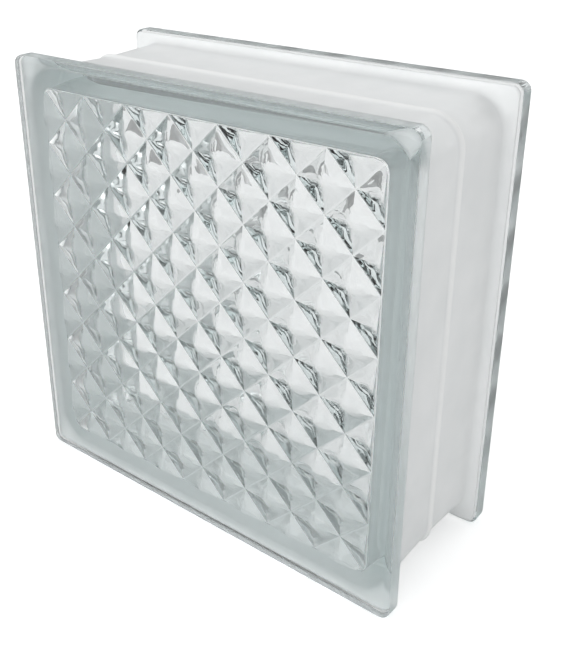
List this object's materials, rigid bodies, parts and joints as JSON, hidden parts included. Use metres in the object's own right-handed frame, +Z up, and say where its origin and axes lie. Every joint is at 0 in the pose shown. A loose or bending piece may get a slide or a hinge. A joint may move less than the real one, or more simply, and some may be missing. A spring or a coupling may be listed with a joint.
{
  "type": "glass block",
  "caption": "Square hollow glass block with a pressed diamond relief inside both faces, clear rims and a white coated channel round its edges.",
  "frame": {"origin": "middle of the underside, on the plane that the two clear rims stand on", "axes": "+X across the face to the right, +Y from the front face to the back face, +Z up the face"},
  "size_m": [0.19, 0.08, 0.19],
  "materials": {
    "front_glass": "fire polished",
    "back_glass": "fire polished",
    "white_coating": "satin painted coat"
  },
  "bodies": {
    "root": {"front_half": "front_glass", "back_half": "back_glass", "edge_coating": "white_coating"}
  },
  "joints": []
}
